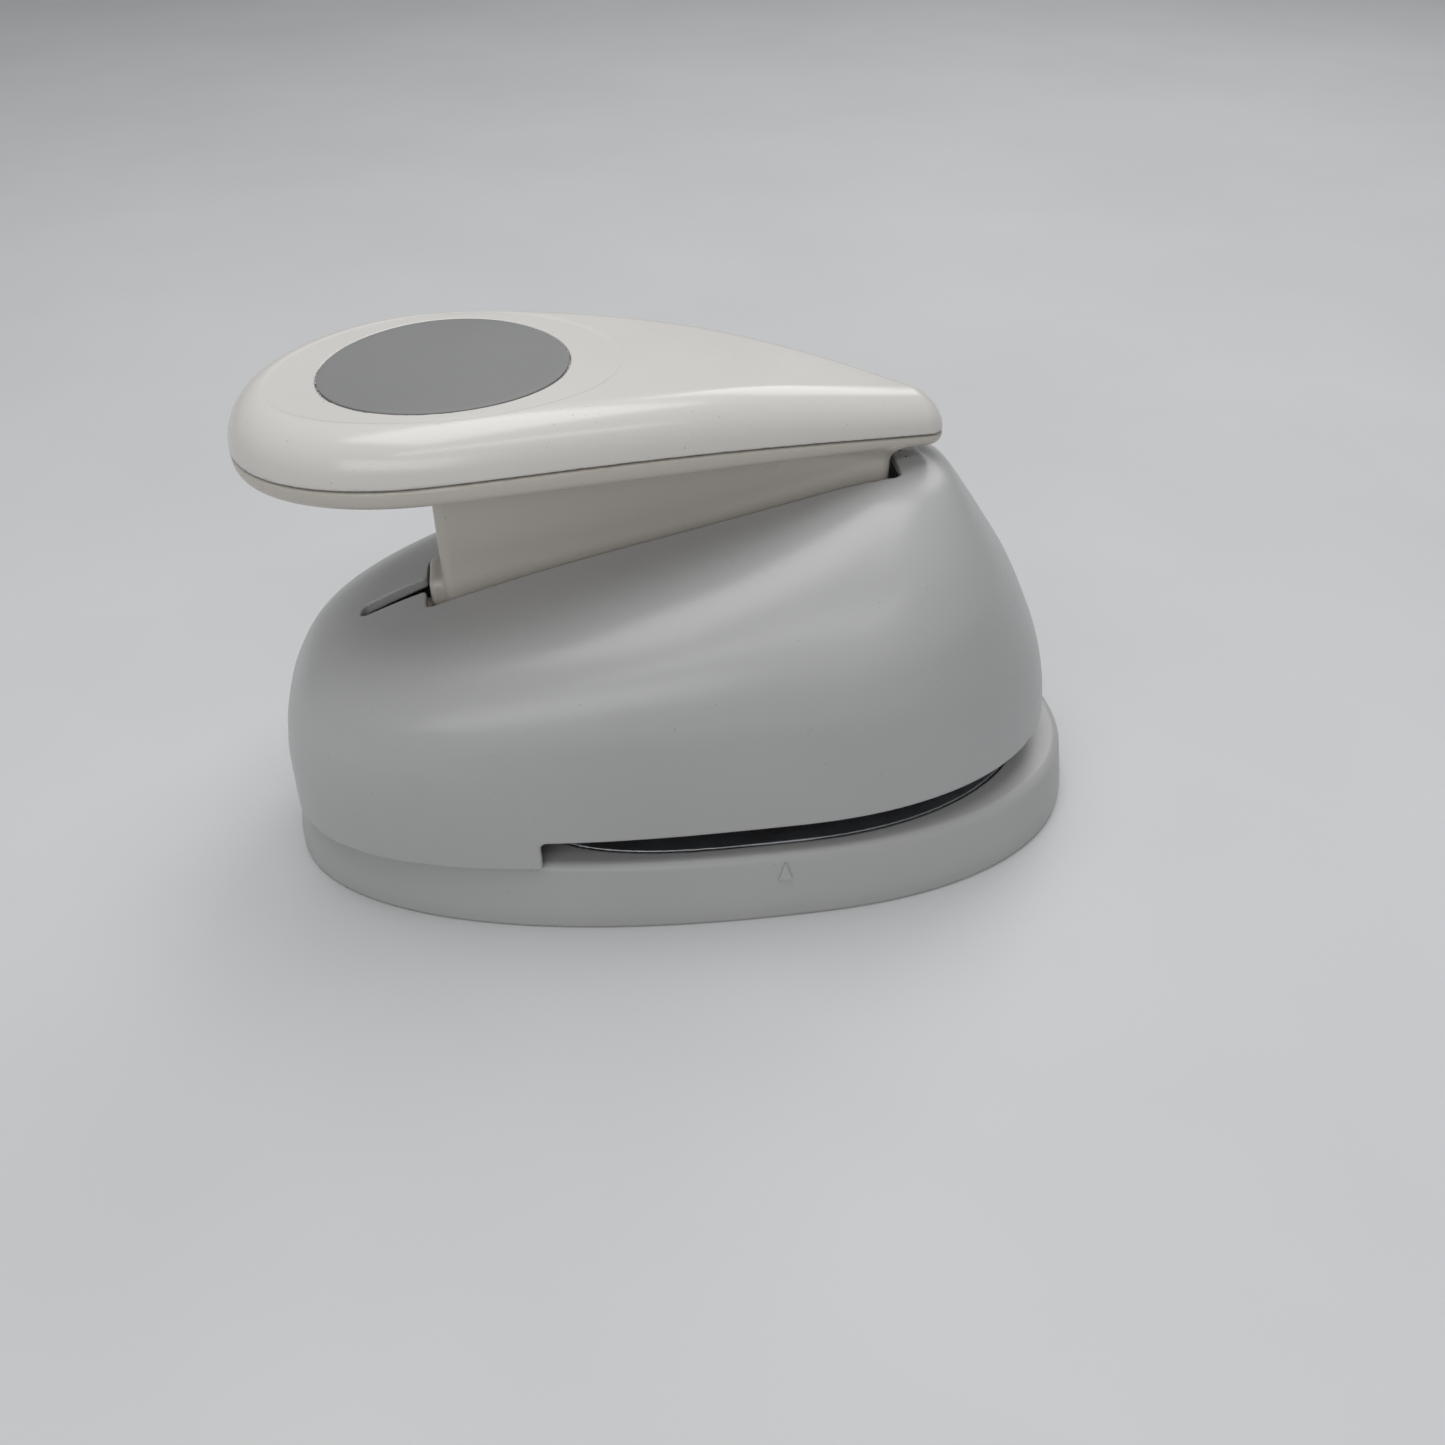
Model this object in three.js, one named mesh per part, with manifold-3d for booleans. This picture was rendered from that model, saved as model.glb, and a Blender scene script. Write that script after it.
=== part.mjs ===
// Large lever craft punch for a 63.5 mm circle, in millimetres, +Z up.
// The origin is the middle of the base's underside, +X points to the throat end where the lever
// is hinged, -X to the closed back end, and the part is symmetric about the XZ plane.
import * as THREE from 'three';
import { mergeVertices } from 'three/addons/utils/BufferGeometryUtils.js';
import Module from 'manifold-3d';

const wasm = await Module();
wasm.setup();

// ---- Driving dimensions ---------------------------------------------------------------------
const WIDEST_X = 17; // where the egg-shaped plan is widest
const BACK_REACH = 95.5; // base outline, from WIDEST_X to its back tip
const FRONT_REACH = 61.5; // and to its front tip
const HALF_WIDTH = 40.7;
const EGG_POWER = 2.28; // 2 is an ellipse, more is squarer
const DIE_X = 13; // centre of the punch and of the die
const PUNCH_RADIUS = 31.75; // the 63.5 mm circle that it cuts
const FIT_GAP = 0.3; // clearance between neighbouring pieces
const STEP_X = -30.7; // the throat is open from here to the front
const DECK_TOP = 14; // base top in the throat
const SEAM_Z = 13.8; // base top under the closed back
const THROAT_TOP = 20.6; // lower edge of the upper shell over the throat
const WALL = 2.5;
const LEDGE_BOTTOM = 8; // the base's inner ledge carries the die plate
const LEDGE_HOLE = 33.2;
const DIE_BOTTOM = 10.4;
const GUIDE_BOTTOM = 19.8;
const GUIDE_TOP = 23.6;
const CUTTER_BOTTOM = 20.2;
const CUTTER_ROOF = 31.2;
const PUSHER_BOTTOM = 35;
const PUSHER_TOP = 40.6;
const ARM_DEPTH = 4; // of the pusher's four arms
const PAD_TOP = 43.4;
const PIVOT_X = 43; // lever hinge axis, parallel to Y
const PIVOT_Z = 58;
const PIN_RADIUS = 2.5;
const HUB_RADIUS = 6;
const RIB_HALF = 6.5; // half width of the lever's box rib
const RIB_BACK = -43.4;
const RIB_FRONT = 36.4;
const SLOT_HALF = 8; // half width of the notch that the rib moves in
const LEVER_X = -42.4; // centre of the lever's round end
const LEVER_BACK = 32.1; // from there to the lever's back tip
const LEVER_HALF = 27.9; // half width of the round end
const NOSE_X = 40.4; // centre of the lever's small front end
const NOSE_RADIUS = 6.3;
const COVER_HEIGHT = 8; // from the parting line to the lever's top
const RIM_RADIUS = 7;
const DISC_X = -38.6;
const DISC_RADIUS = 20.4; // half its length
const DISC_SQUASH = 0.926; // its width as a share of its length
const DISC_THICK = 0.5;
const DISC_SEAT = 7.1; // floor of its recess, above the parting line
const POST_RADIUS = 2.5;
const POST_SINK = 1.7; // depth of a post's foot in the guide plate
const POST_TOP = 46.6;
const SPRING_RADIUS = 3.65; // to the middle of the wire
const WIRE_RADIUS = 0.55;
const BAR_BOTTOM = 47.7; // underside of the pivot retainer
const BAR_THICK = 3;
const LUG_INSIDE = 7.4; // the lugs that hold the pin stand from here
const LUG_OUTSIDE = 10.9; // to here on each side
const BOSS_BOTTOM = 4.8; // underside of the housing screws' bosses
const HEAD_SINK = 1.9; // depth of a guide screw's head in its plate
const SCREW_SHANK = 1.4;
const SCREW_HEAD = 2.8;
const SCREW_HEAD_HEIGHT = 1.5;
const HOLE_RADIUS = SCREW_SHANK + FIT_GAP;
const HALF_SEAM = FIT_GAP / 2; // half the parting gap of the lever
const RING_POINTS = 44; // even, so that a ring's two sides mirror each other
const HOLE_SIDES = 10;
const BOSS_SIDES = 12;

const POSTS = [[-27, 15.5], [-27, -15.5], [50, 17], [50, -17]];
const DIE_SCREWS = [[-29, 8.5], [-29, -8.5], [-29, 22.5], [-29, -22.5]];
const HOUSING_SCREWS = [[-60, 13], [-60, -13], [-46, 24], [-46, -24]];
const GUIDE_SCREWS = [[60, 11], [60, -11]];
const LEVER_SCREWS = [[-58, 14], [-58, -14], [8, 11.5], [8, -11.5]];
const RETAINER_SCREWS = [[PIVOT_X, 15.5], [PIVOT_X, -15.5]];

// Plan sections of the upper shell: height, back end, front end, half width, widest point.
const DOME_LEVELS = [
  [14.1, -76.6, 72.4, 38, 15],
  [19, -76.4, 72.3, 38.3, 15],
  [28, -75.8, 71, 38.9, 16],
  [37, -73.3, 68.4, 39.3, 18],
  [45, -66.5, 65, 38.9, 20],
  [53, -49.5, 61, 36, 24],
  [60, -25, 56.5, 30.5, 28],
  [66, 2, 52.4, 23.5, 32],
  [71, 24, 48.7, 15, 36],
  [74, 36, 45.2, 6, 40],
];
const DOME_RINGS = 14;

const colours = {
  shell: { color: 0xb4b6b8, roughness: 0.32, metalness: 0 },
  base: { color: 0xaaacae, roughness: 0.38, metalness: 0 },
  lever: { color: 0xe9e4da, roughness: 0.35, metalness: 0 },
  disc: { color: 0x9a9c9e, roughness: 0.5, metalness: 0 },
  pusher: { color: 0xdcdcd8, roughness: 0.5, metalness: 0 },
  steel: { color: 0x8d9094, roughness: 0.35, metalness: 1 },
  zinc: { color: 0xc4c6c8, roughness: 0.3, metalness: 1 },
};

const punch = new THREE.Group();

// ---- Solids ---------------------------------------------------------------------------------
function toSolid(geometry) {
  const bare = geometry.clone();
  for (const name of Object.keys(bare.attributes)) {
    if (name !== 'position') bare.deleteAttribute(name);
  }
  const merged = mergeVertices(bare, 1e-4);
  const vertProperties = new Float32Array(merged.attributes.position.array);
  const triVerts = new Uint32Array(merged.index.array);
  return new wasm.Manifold(new wasm.Mesh({ numProp: 3, vertProperties, triVerts }));
}

function addPiece(name, solid, finish) {
  const mesh = solid.getMesh();
  const geometry = new THREE.BufferGeometry();
  geometry.setAttribute('position', new THREE.BufferAttribute(mesh.vertProperties, 3));
  geometry.setIndex(new THREE.BufferAttribute(mesh.triVerts, 1));
  geometry.computeVertexNormals();
  const piece = new THREE.Mesh(geometry, new THREE.MeshStandardMaterial(finish));
  piece.name = name;
  punch.add(piece);
}

// A flat outline raised from one height to another.
function prism(shape, bottom, top, curveSegments = 24) {
  const geometry = new THREE.ExtrudeGeometry(shape, {
    depth: top - bottom, bevelEnabled: false, curveSegments,
  });
  return toSolid(geometry.translate(0, 0, bottom));
}

// An outline drawn in X and Z, given thickness from yMin to yMax.
function sideplate(shape, yMin, yMax, curveSegments = 12) {
  const geometry = new THREE.ExtrudeGeometry(shape, {
    depth: yMax - yMin, bevelEnabled: false, curveSegments,
  });
  return toSolid(geometry.rotateX(Math.PI / 2).translate(0, yMax, 0));
}

function rod(x, y, radius, bottom, top, sides = 24) {
  const geometry = new THREE.CylinderGeometry(radius, radius, top - bottom, sides);
  return toSolid(geometry.rotateX(Math.PI / 2).translate(x, y, (bottom + top) / 2));
}

function crossRod(x, z, radius, half, sides = 24) {
  const geometry = new THREE.CylinderGeometry(radius, radius, 2 * half, sides);
  return toSolid(geometry.translate(x, 0, z));
}

function block(xMin, xMax, yMin, yMax, zMin, zMax) {
  const geometry = new THREE.BoxGeometry(xMax - xMin, yMax - yMin, zMax - zMin);
  return toSolid(
    geometry.translate((xMin + xMax) / 2, (yMin + yMax) / 2, (zMin + zMax) / 2));
}

// A closed skin over a stack of rings with equal point counts. Point i of a ring mirrors point
// count - 1 - i across the XZ plane, so each end is shut by rungs between the two sides.
function loft(rings) {
  const count = rings[0].length;
  const points = rings.flat();
  const faces = [];
  for (let level = 0; level < rings.length - 1; level += 1) {
    for (let i = 0; i < count; i += 1) {
      const a = level * count + i;
      const b = level * count + (i + 1) % count;
      faces.push(a, b, b + count, a, b + count, a + count);
    }
  }
  for (const [level, flip] of [[0, true], [rings.length - 1, false]]) {
    const first = level * count;
    for (let i = 0; i < count / 2 - 1; i += 1) {
      const near = [first + i, first + i + 1];
      const far = [first + count - 1 - i, first + count - 2 - i];
      if (flip) faces.push(near[0], far[1], near[1], near[0], far[0], far[1]);
      else faces.push(near[0], near[1], far[1], near[0], far[1], far[0]);
    }
  }
  const geometry = new THREE.BufferGeometry().setFromPoints(points);
  geometry.setIndex(faces);
  return toSolid(geometry);
}

// Round posts or holes of one size at several places.
function rods(places, radius, bottom, top, sides = HOLE_SIDES) {
  return join(...places.map(([x, y]) => rod(x, y, radius, bottom, top, sides)));
}

function join(...solids) {
  return solids.reduce((whole, next) => whole.add(next));
}

function cut(solid, ...tools) {
  return tools.reduce((rest, tool) => rest.subtract(tool), solid);
}

// ---- Plan outlines --------------------------------------------------------------------------
function eggPoint(angle, back, front, half, widest, backPower, frontPower) {
  const c = Math.cos(angle);
  const s = Math.sin(angle);
  const power = c > 0 ? frontPower : backPower;
  const reach = c > 0 ? front - widest : widest - back;
  return new THREE.Vector2(
    widest + reach * Math.sign(c) * Math.abs(c) ** (2 / power),
    half * Math.sign(s) * Math.abs(s) ** (2 / power));
}

function eggRing(z, back, front, half, widest, backPower, frontPower) {
  const ring = [];
  for (let i = 0; i < RING_POINTS; i += 1) {
    const angle = (2 * Math.PI * (i + 0.5)) / RING_POINTS;
    const p = eggPoint(angle, back, front, half, widest, backPower, frontPower);
    ring.push(new THREE.Vector3(p.x, p.y, z));
  }
  return ring;
}

function baseRing(z, inset) {
  const back = WIDEST_X - BACK_REACH + inset;
  const front = WIDEST_X + FRONT_REACH - inset;
  return eggRing(z, back, front, HALF_WIDTH - inset, WIDEST_X, EGG_POWER, EGG_POWER);
}

function domeRing([z, back, front, half, widest], inset) {
  const spare = Math.min(inset, half - 0.5);
  const middle = Math.min(Math.max(widest, back + inset + 0.4), front - inset - 0.4);
  return eggRing(
    z, Math.min(back + inset, middle - 0.3), Math.max(front - inset, middle + 0.3),
    half - spare, middle, 2.8, 2.15);
}

function plateShape(back, front, half, grow) {
  const shape = new THREE.Shape();
  const ring = eggRing(0, back - grow, front + grow, half + grow, WIDEST_X, 3.4, 2.1);
  shape.setFromPoints(ring.map((p) => new THREE.Vector2(p.x, p.y)));
  return shape;
}

// ---- Base -----------------------------------------------------------------------------------
const DIE_PLATE = [-37, 68, 35];
const GUIDE_PLATE = [-35, 68.6, 34.8];
const SPACER_PLATE = [-34.6, 64, 33];

function baseShell() {
  const outside = loft([
    baseRing(0, 0.4), baseRing(0.8, 0), baseRing(3, 0.1), baseRing(12.2, 1.7),
    baseRing(13.5, 2.3), baseRing(DECK_TOP, 3.4),
  ]);
  const under = loft([baseRing(-1, 2.8), baseRing(LEDGE_BOTTOM, 4)]);
  const backRoom = cut(
    loft([baseRing(LEDGE_BOTTOM - 1, 3.9), baseRing(11, 4.4)]),
    block(-39, 100, -60, 60, 0, 20));
  const backTop = block(-100, STEP_X + FIT_GAP, -60, 60, SEAM_Z, 20);
  const platePocket = prism(plateShape(...DIE_PLATE, FIT_GAP), DIE_BOTTOM - FIT_GAP, 20);
  const chipHole = rod(DIE_X, 0, LEDGE_HOLE, 5, 15, 40);
  const shell = cut(outside, under, backRoom, backTop);
  const bosses = rods(HOUSING_SCREWS, 4.2, BOSS_BOTTOM, 12, BOSS_SIDES);
  const holes = rods([...HOUSING_SCREWS, ...DIE_SCREWS], HOLE_RADIUS, 3, 15);
  return cut(join(shell, bosses), platePocket, chipHole, holes);
}

// ---- Die set --------------------------------------------------------------------------------
function diePlate() {
  const plate = prism(plateShape(...DIE_PLATE, 0), DIE_BOTTOM, DECK_TOP);
  const dieHole = rod(DIE_X, 0, PUNCH_RADIUS + FIT_GAP, 5, 20, 48);
  return cut(plate, dieHole, rods(DIE_SCREWS, HOLE_RADIUS, 5, 20));
}

function throatSpacer() {
  const plate = prism(plateShape(...SPACER_PLATE, 0), DECK_TOP + FIT_GAP, GUIDE_BOTTOM - FIT_GAP);
  const throat = join(block(-24, 100, -60, 60, 0, 40), rod(DIE_X, 0, 37.5, 0, 40, 48));
  return cut(plate, throat, rods(DIE_SCREWS, HOLE_RADIUS, 5, 30));
}

function guidePlate() {
  const plate = prism(plateShape(...GUIDE_PLATE, 0), GUIDE_BOTTOM, GUIDE_TOP);
  return cut(
    plate,
    rod(DIE_X, 0, PUNCH_RADIUS + FIT_GAP, 5, 40, 48),
    rods(DIE_SCREWS, HOLE_RADIUS, 5, GUIDE_TOP - 0.8),
    rods(POSTS, POST_RADIUS + FIT_GAP, GUIDE_TOP - POST_SINK - FIT_GAP, 30, BOSS_SIDES),
    rods(GUIDE_SCREWS, HOLE_RADIUS, 5, 30),
    rods(GUIDE_SCREWS, SCREW_HEAD + FIT_GAP, 5, GUIDE_BOTTOM + HEAD_SINK, BOSS_SIDES));
}

function guidePost([x, y]) {
  return rod(x, y, POST_RADIUS, GUIDE_TOP - POST_SINK, POST_TOP, BOSS_SIDES);
}

// A round wire wound up the post.
function returnSpring([x, y]) {
  const turns = 4;
  const stepsPerTurn = 9;
  const steps = turns * stepsPerTurn;
  const bottom = GUIDE_TOP + FIT_GAP + WIRE_RADIUS;
  const top = PUSHER_TOP - ARM_DEPTH - FIT_GAP - WIRE_RADIUS;
  const route = [];
  for (let i = 0; i <= steps; i += 1) {
    const angle = (2 * Math.PI * i) / stepsPerTurn;
    route.push(new THREE.Vector3(
      x + SPRING_RADIUS * Math.cos(angle), y + SPRING_RADIUS * Math.sin(angle),
      bottom + ((top - bottom) * i) / steps));
  }
  const section = new THREE.Shape().absarc(0, 0, WIRE_RADIUS, 0, 2 * Math.PI);
  const geometry = new THREE.ExtrudeGeometry(section, {
    steps, curveSegments: 3, extrudePath: new THREE.CatmullRomCurve3(route),
  });
  return toSolid(geometry);
}

// ---- Punch ----------------------------------------------------------------------------------
const PUNCH_SCREWS = [90, 210, 330].map((degrees) => {
  const angle = THREE.MathUtils.degToRad(degrees);
  return [DIE_X + 18 * Math.cos(angle), 18 * Math.sin(angle)];
});

function punchCutter() {
  const cup = rod(DIE_X, 0, PUNCH_RADIUS, CUTTER_BOTTOM, PUSHER_BOTTOM - FIT_GAP, 48);
  const inside = rod(DIE_X, 0, PUNCH_RADIUS - 3.4, 10, CUTTER_ROOF, 48);
  return cut(cup, inside, rods(PUNCH_SCREWS, HOLE_RADIUS, 20, 40));
}

function pusher() {
  let body = rod(DIE_X, 0, 30.8, PUSHER_BOTTOM, PUSHER_TOP, 48);
  for (const [x, y] of POSTS) {
    const reach = new THREE.Vector2(x - DIE_X, y);
    const start = 20;
    const arm = new THREE.BoxGeometry(reach.length() - start, 9, ARM_DEPTH);
    arm.translate((reach.length() + start) / 2, 0, 0).rotateZ(reach.angle());
    body = body.add(toSolid(arm.translate(DIE_X, 0, PUSHER_TOP - ARM_DEPTH / 2)));
  }
  const sleeves = rods(POSTS, 6, PUSHER_TOP - ARM_DEPTH, PUSHER_TOP, 16);
  const pad = rod(DIE_X, 0, 13, PUSHER_TOP - 1, PAD_TOP, 32);
  return cut(
    join(body, sleeves, pad),
    rods(POSTS, POST_RADIUS + 0.45, 30, 45, BOSS_SIDES),
    rods(PUNCH_SCREWS, HOLE_RADIUS, 30, PUSHER_TOP - 0.8));
}

// ---- Upper shell ----------------------------------------------------------------------------
// The inside follows the same sections, drawn in by inset and lowered towards the top.
function domeSolid(inset) {
  const columns = [1, 2, 3, 4].map((column) => new THREE.SplineCurve(
    DOME_LEVELS.map((level) => new THREE.Vector2(level[0], level[column]))));
  const rings = [];
  for (let i = 0; i <= DOME_RINGS; i += 1) {
    const t = i / DOME_RINGS;
    const values = columns.map((column) => column.getPoint(t));
    const drop = t === 0 ? 2 * Math.sign(inset) : inset * Math.max(0, t - 0.25) / 0.75;
    rings.push(domeRing([values[0].x - drop, ...values.map((value) => value.y)], inset));
  }
  return loft(rings);
}

// A wide notch for the rib, and a narrow slot behind it for the stop hook's web.
function slotCutter() {
  const shape = new THREE.Shape();
  const corner = 1.6;
  const side = SLOT_HALF - corner;
  const back = RIB_BACK - 3.4;
  const end = back - 10.6;
  shape.moveTo(end, -1.9);
  shape.lineTo(back, -2.4);
  shape.lineTo(back, -side);
  shape.absarc(back + corner, -side, corner, Math.PI, 1.5 * Math.PI, false);
  shape.lineTo(RIB_FRONT, -SLOT_HALF);
  shape.absarc(RIB_FRONT, -side, corner, 1.5 * Math.PI, 2 * Math.PI, false);
  shape.lineTo(RIB_FRONT + corner, side);
  shape.absarc(RIB_FRONT, side, corner, 0, 0.5 * Math.PI, false);
  shape.lineTo(back + corner, SLOT_HALF);
  shape.absarc(back + corner, side, corner, 0.5 * Math.PI, Math.PI, false);
  shape.lineTo(back, 2.4);
  shape.lineTo(end, 1.9);
  shape.absarc(end, 0, 1.9, 0.5 * Math.PI, 1.5 * Math.PI, false);
  return prism(shape, 40, 90, 4);
}

function pinLug(side) {
  const faces = [LUG_INSIDE * side, LUG_OUTSIDE * side].sort((a, b) => a - b);
  const lug = block(PIVOT_X - 7, PIVOT_X + 7, ...faces, BAR_BOTTOM + BAR_THICK + 0.5, 80);
  const seat = crossRod(PIVOT_X, PIVOT_Z, PIN_RADIUS + FIT_GAP, 20);
  const wayIn = block(PIVOT_X - 2.8, PIVOT_X + 2.8, -20, 20, 45, PIVOT_Z);
  return cut(lug, seat, wayIn);
}

function upperShell() {
  const outside = domeSolid(0);
  const skin = cut(
    outside, domeSolid(WALL), slotCutter(),
    block(STEP_X, 100, -60, 60, 0, THROAT_TOP));
  const bosses = join(
    pinLug(1), pinLug(-1),
    rods(HOUSING_SCREWS, 3.8, DECK_TOP, 80, BOSS_SIDES),
    rods(GUIDE_SCREWS, 3.6, GUIDE_TOP + FIT_GAP, 80, BOSS_SIDES),
    rods(RETAINER_SCREWS, 3.2, BAR_BOTTOM + BAR_THICK + FIT_GAP, 80, BOSS_SIDES));
  const inner = cut(
    bosses,
    rods(HOUSING_SCREWS, HOLE_RADIUS, 10, 30),
    rods(GUIDE_SCREWS, HOLE_RADIUS, 10, 34),
    rods(RETAINER_SCREWS, HOLE_RADIUS, 50, 60));
  return skin.add(inner.intersect(domeSolid(WALL / 2)));
}

// ---- Pivot ----------------------------------------------------------------------------------
function pivotPin() {
  return crossRod(PIVOT_X, PIVOT_Z, PIN_RADIUS, 11.5);
}

function pivotRetainer() {
  const seat = PIVOT_Z - PIN_RADIUS - FIT_GAP;
  const near = LUG_INSIDE + FIT_GAP;
  const far = LUG_OUTSIDE - FIT_GAP;
  const bar = block(PIVOT_X - 4, PIVOT_X + 4, -18.5, 18.5, BAR_BOTTOM, BAR_BOTTOM + BAR_THICK);
  const left = block(PIVOT_X - 2.5, PIVOT_X + 2.5, near, far, BAR_BOTTOM + 2, seat);
  const right = block(PIVOT_X - 2.5, PIVOT_X + 2.5, -far, -near, BAR_BOTTOM + 2, seat);
  return cut(join(bar, left, right), rods(RETAINER_SCREWS, HOLE_RADIUS, 40, 60));
}

// ---- Lever ----------------------------------------------------------------------------------
// Height of the parting line between the lever's two halves.
function leverLine(x) {
  return 85.2 - 0.054 * (x - WIDEST_X) - 7.4 * ((x + 13) / 70) ** 2;
}

// Teardrop plan outline: a round back end, a bezier flank and a small round nose.
function leverOutline() {
  const flare = THREE.MathUtils.degToRad(26);
  const noseTurn = Math.PI / 2 - flare;
  const touch = new THREE.Vector2(
    NOSE_X + NOSE_RADIUS * Math.cos(noseTurn), NOSE_RADIUS * Math.sin(noseTurn));
  const flank = new THREE.CubicBezierCurve(
    touch,
    new THREE.Vector2(touch.x - 26 * Math.cos(flare), touch.y + 26 * Math.sin(flare)),
    new THREE.Vector2(LEVER_X + 21, LEVER_HALF),
    new THREE.Vector2(LEVER_X, LEVER_HALF));
  const half = [];
  for (let i = 0; i < 3; i += 1) {
    const angle = (noseTurn * (i + 0.5)) / 3;
    half.push(new THREE.Vector2(
      NOSE_X + NOSE_RADIUS * Math.cos(angle), NOSE_RADIUS * Math.sin(angle)));
  }
  half.push(...flank.getPoints(9));
  for (let i = 0; i < 8; i += 1) {
    const angle = (Math.PI / 2) * (1 + (i + 0.5) / 8);
    half.push(new THREE.Vector2(
      LEVER_X + LEVER_BACK * Math.cos(angle), LEVER_HALF * Math.sin(angle)));
  }
  const mirrored = half.map((p) => new THREE.Vector2(p.x, -p.y)).reverse();
  return [...half, ...mirrored];
}

const outline = leverOutline();

// One ring of the lever: the outline drawn in by inset towards its spine, at a height rule.
function leverRing(inset, height, spineEnd = NOSE_X - 1) {
  return outline.map((p) => {
    const spine = new THREE.Vector2(THREE.MathUtils.clamp(p.x, LEVER_X, spineEnd), 0);
    const span = p.distanceTo(spine);
    const used = Math.min(inset, span * 0.96);
    const q = p.clone().lerp(spine, used / span);
    return new THREE.Vector3(q.x, q.y, leverLine(q.x) + height(used, q.x));
  });
}

function rimHeight(inset, tall, radius) {
  const left = 1 - Math.min(inset, radius) / radius;
  return tall * Math.sqrt(Math.max(0, 1 - left * left));
}

// The cover is lower towards the nose, and so is the frame under it.
function coverTall(x) {
  return COVER_HEIGHT - 2.2 * THREE.MathUtils.smoothstep(x, 0, 52);
}

function frameDeep(x) {
  return 3.7 - 1.3 * THREE.MathUtils.smoothstep(x, -10, 50);
}

// Underside of the lever's frame.
function frameFace(x) {
  return leverLine(x) - HALF_SEAM - frameDeep(x);
}

function coverSolid(inset, drop, low) {
  const rings = [leverRing(100, () => low), leverRing(inset, () => low)];
  for (const step of [0, 0.5, 1.6, 3.4, RIM_RADIUS]) {
    rings.push(leverRing(
      inset + step, (used, x) => HALF_SEAM + rimHeight(used - inset, coverTall(x) - drop, RIM_RADIUS)));
  }
  rings.push(leverRing(100, (used, x) => HALF_SEAM + coverTall(x) - drop));
  return loft(rings);
}

// A flat oval in the lever's top, its lower face at the given height above the parting line.
function discSolid(grow, thick, height) {
  const radius = DISC_RADIUS + grow;
  const slope = leverLine(DISC_X + 1) - leverLine(DISC_X - 1);
  const geometry = new THREE.CylinderGeometry(radius, radius, thick, 36);
  geometry.rotateX(Math.PI / 2).scale(1, DISC_SQUASH, 1).rotateY(-Math.atan(slope / 2));
  return toSolid(geometry.translate(DISC_X, 0, leverLine(DISC_X) + height + thick / 2));
}

function leverCover() {
  const outside = coverSolid(0, 0, HALF_SEAM);
  const bosses = rods(LEVER_SCREWS, 3.4, 60, 110, BOSS_SIDES);
  const skin = cut(outside, coverSolid(2.3, 2.2, -2)).add(bosses.intersect(coverSolid(1, 1, HALF_SEAM)));
  const holes = LEVER_SCREWS.map(([x, y]) => rod(x, y, HOLE_RADIUS, 60, leverLine(x) + 5, HOLE_SIDES));
  return cut(skin, discSolid(FIT_GAP, 3, DISC_SEAT), ...holes);
}

function sizeDisc() {
  return discSolid(0, DISC_THICK, DISC_SEAT + FIT_GAP);
}

function ribShape() {
  const shape = new THREE.Shape();
  shape.moveTo(RIB_BACK, 50.5);
  shape.lineTo(2, 61.5);
  shape.lineTo(DIE_X - 8.5, 52.4);
  shape.absarc(DIE_X, 52.4, 8.5, Math.PI, 1.9 * Math.PI, false);
  shape.absarc(PIVOT_X, PIVOT_Z, HUB_RADIUS, 1.3 * Math.PI, 2.58 * Math.PI, false);
  shape.lineTo(RIB_FRONT, 69.5);
  for (let i = 0; i <= 8; i += 1) {
    const x = RIB_FRONT + ((RIB_BACK - RIB_FRONT) * i) / 8;
    shape.lineTo(x, leverLine(x) - 2.6);
  }
  const root = leverLine(RIB_BACK) - frameDeep(RIB_BACK);
  shape.lineTo(RIB_BACK - 2.2, root + 0.8);
  shape.lineTo(RIB_BACK - 2.2, root - 0.1);
  shape.quadraticCurveTo(RIB_BACK - 0.3, root - 0.8, RIB_BACK, root - 4);
  return shape;
}

// The thin web and its wide foot, which catches under the upper shell and stops the lever.
function stopHook() {
  const web = block(-48, RIB_BACK + 1, -1.5, 1.5, 45.8, 49.5);
  const foot = block(-50.5, -45, -5, 5, 45.8, 48);
  const gusset = block(RIB_BACK - 2.6, RIB_BACK + 1, -4.8, 4.8, 45.8, 57);
  return join(web, foot, gusset);
}

function leverFrame() {
  const rings = [leverRing(100, () => -HALF_SEAM), leverRing(0, () => -HALF_SEAM)];
  for (const [inset, share] of [[0, 0.3], [0.5, 0.68], [1.6, 0.92], [3.4, 1]]) {
    rings.push(leverRing(inset, (used, x) => -HALF_SEAM - share * frameDeep(x)));
  }
  rings.push(leverRing(100, (used, x) => -HALF_SEAM - frameDeep(x)));
  const whole = loft(rings.reverse());
  const room = loft([
    leverRing(100, (used, x) => 2 - frameDeep(x), 34),
    leverRing(3.4, (used, x) => 2 - frameDeep(x), 34),
    leverRing(2.4, () => 2, 34),
    leverRing(100, () => 2, 34),
  ]);
  const posts = rods(LEVER_SCREWS, 4, 60, 110, BOSS_SIDES);
  const rib = cut(
    sideplate(ribShape(), -RIB_HALF, RIB_HALF), block(RIB_BACK + 2.4, 0, -4.2, 4.2, 40, 76),
    crossRod(PIVOT_X, PIVOT_Z, PIN_RADIUS + FIT_GAP, 20));
  const sinks = LEVER_SCREWS.map(([x, y]) => rod(
    x, y, SCREW_HEAD + FIT_GAP, 60, frameFace(x) + SCREW_HEAD_HEIGHT + FIT_GAP, BOSS_SIDES));
  return cut(
    join(cut(whole, room), posts.intersect(whole), rib, stopHook()),
    rods(LEVER_SCREWS, HOLE_RADIUS, 60, 110), ...sinks);
}

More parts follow.
